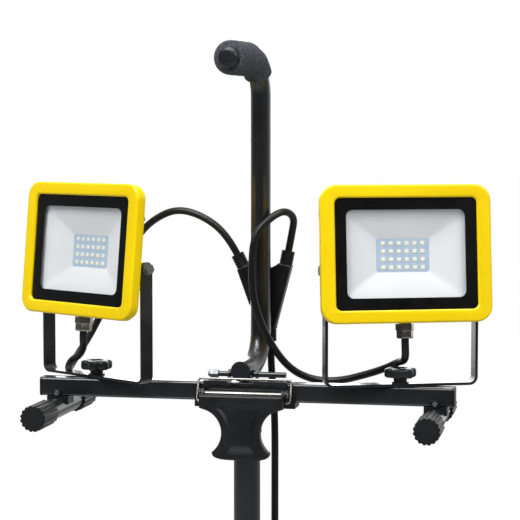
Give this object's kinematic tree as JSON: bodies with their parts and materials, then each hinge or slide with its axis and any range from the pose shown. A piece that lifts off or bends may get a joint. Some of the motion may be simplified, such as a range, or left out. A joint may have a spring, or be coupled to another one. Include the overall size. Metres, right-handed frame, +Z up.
{
  "type": "work light",
  "caption": "Twin lamp LED work light with tilting heads on a quick release crossbar, carrying handle and folding tripod mast",
  "frame": {"origin": "on the floor, under the axis of the mast", "axes": "+Z up along the mast, +X to the right of a person facing the lamps, +Y away from that person, behind the light; in metres"},
  "size_m": [0.6628, 0.6151, 1.188],
  "materials": {
    "yellow_paint": "glossy powder coat",
    "zinc_steel": "zinc plated",
    "window_glass": "clear with a black printed border",
    "gasket_rubber": "matte silicone",
    "white_tray": "satin white",
    "board_laminate": "pale solder mask",
    "chip_phosphor": "cream silicone",
    "driver_case": "potted",
    "nickel_brass": "nickel plated",
    "black_paint": "satin black",
    "knob_plastic": "satin",
    "black_tube": "satin black powder coat",
    "black_plastic": "fine grained",
    "grey_foam": "closed cell foam",
    "chrome_steel": "polished",
    "foot_rubber": "matte",
    "lead_rubber": "satin rubber"
  },
  "bodies": {
    "stand": {"mast_base": "black_tube", "mast_collar": "black_plastic", "leg_hub": "black_plastic", "hub_pins": "zinc_steel", "lead_coil": "lead_rubber", "mains_plug": "lead_rubber"},
    "mast_head": {"mast_top": "black_tube", "mast_bush": "black_plastic", "latch_cradle": "black_plastic", "clamp_plate": "black_paint", "latch_rod": "chrome_steel", "crossbar": "black_tube", "crossbar_caps": "black_plastic", "foot_tubes": "black_tube", "foot_caps": "black_plastic", "foot_saddles": "black_plastic", "crossbar_fasteners": "zinc_steel", "handle_tube": "black_tube", "handle_grip": "grey_foam", "handle_plugs": "black_plastic", "y_splitter": "lead_rubber", "lead_left": "lead_rubber", "lead_right": "lead_rubber", "main_lead": "lead_rubber"},
    "lever": {"latch_lever": "black_plastic"},
    "bail": {"latch_bail": "chrome_steel"},
    "collar_knob": {"collar_knob": "knob_plastic"},
    "head_left": {"lamp_bezel_left": "yellow_paint", "bezel_screws_left": "zinc_steel", "lamp_glass_left": "window_glass", "lamp_gasket_left": "gasket_rubber", "lamp_reflector_left": "white_tray", "led_board_left": "board_laminate", "led_chips_left": "chip_phosphor", "led_driver_left": "driver_case", "lamp_housing_left": "yellow_paint", "lamp_gland_left": "nickel_brass", "tilt_bolts_left": "zinc_steel"},
    "bracket_left": {"lamp_bracket_left": "black_paint"},
    "knob_left": {"bracket_knob_left": "knob_plastic"},
    "head_right": {"lamp_bezel_right": "yellow_paint", "bezel_screws_right": "zinc_steel", "lamp_glass_right": "window_glass", "lamp_gasket_right": "gasket_rubber", "lamp_reflector_right": "white_tray", "led_board_right": "board_laminate", "led_chips_right": "chip_phosphor", "led_driver_right": "driver_case", "lamp_housing_right": "yellow_paint", "lamp_gland_right": "nickel_brass", "tilt_bolts_right": "zinc_steel"},
    "bracket_right": {"lamp_bracket_right": "black_paint"},
    "knob_right": {"bracket_knob_right": "knob_plastic"},
    "leg_front": {"leg_tube_front": "black_tube", "leg_foot_front": "foot_rubber"},
    "leg_right": {"leg_tube_right": "black_tube", "leg_foot_right": "foot_rubber"},
    "leg_left": {"leg_tube_left": "black_tube", "leg_foot_left": "foot_rubber"}
  },
  "joints": [
    {"name": "mast_slide", "type": "slide", "parent": "stand", "child": "mast_head", "axis": [0, 0, 1], "range_m": [0, 0.28], "deforming": ["main_lead"]},
    {"name": "latch_pull", "type": "hinge", "parent": "mast_head", "child": "lever", "pos_m": [0, -0.02, 0.819], "axis": [-1, 0, 0], "range_deg": [0, 110]},
    {"name": "bail_swing", "type": "hinge", "parent": "lever", "child": "bail", "pos_m": [0, -0.02, 0.811], "axis": [1, 0, 0], "range_deg": [0, 145]},
    {"name": "collar_screw", "type": "hinge", "parent": "stand", "child": "collar_knob", "pos_m": [0, 0, 0.63], "axis": [0.866, -0.5, 0], "continuous": true},
    {"name": "lamp_turn_left", "type": "hinge", "parent": "mast_head", "child": "bracket_left", "pos_m": [-0.1654, 0, 0.83], "axis": [0, 0, 1], "range_deg": [-27.2, 92.8], "deforming": ["lead_left"]},
    {"name": "lamp_tilt_left", "type": "hinge", "parent": "bracket_left", "child": "head_left", "pos_m": [-0.1654, 0, 0.951], "axis": [-0.8406, 0.5417, 0], "range_deg": [-12, 75], "deforming": ["lead_left"]},
    {"name": "knob_screw_left", "type": "hinge", "parent": "mast_head", "child": "knob_left", "pos_m": [-0.1654, 0, 0.845], "axis": [0, 0, 1], "continuous": true},
    {"name": "lamp_turn_right", "type": "hinge", "parent": "mast_head", "child": "bracket_right", "pos_m": [0.163, 0, 0.83], "axis": [0, 0, 1], "range_deg": [-81.5, 38.5], "deforming": ["lead_right"]},
    {"name": "lamp_tilt_right", "type": "hinge", "parent": "bracket_right", "child": "head_right", "pos_m": [0.163, 0, 0.951], "axis": [-0.9304, -0.3665, 0], "range_deg": [-12, 75], "deforming": ["lead_right"]},
    {"name": "knob_screw_right", "type": "hinge", "parent": "mast_head", "child": "knob_right", "pos_m": [0.163, 0, 0.845], "axis": [0, 0, 1], "continuous": true},
    {"name": "leg_fold_front", "type": "hinge", "parent": "stand", "child": "leg_front", "pos_m": [0, -0.0295, 0.54], "axis": [1, 0, 0], "range_deg": [0, 29]},
    {"name": "leg_fold_right", "type": "hinge", "parent": "stand", "child": "leg_right", "pos_m": [0.02555, 0.01475, 0.54], "axis": [-0.5, 0.866, 0], "range_deg": [0, 29]},
    {"name": "leg_fold_left", "type": "hinge", "parent": "stand", "child": "leg_left", "pos_m": [-0.02555, 0.01475, 0.54], "axis": [-0.5, -0.866, 0], "range_deg": [0, 29]}
  ],
  "couplings": [
    {"joint": "bail_swing", "follows": "latch_pull", "ratio": 1.318}
  ]
}
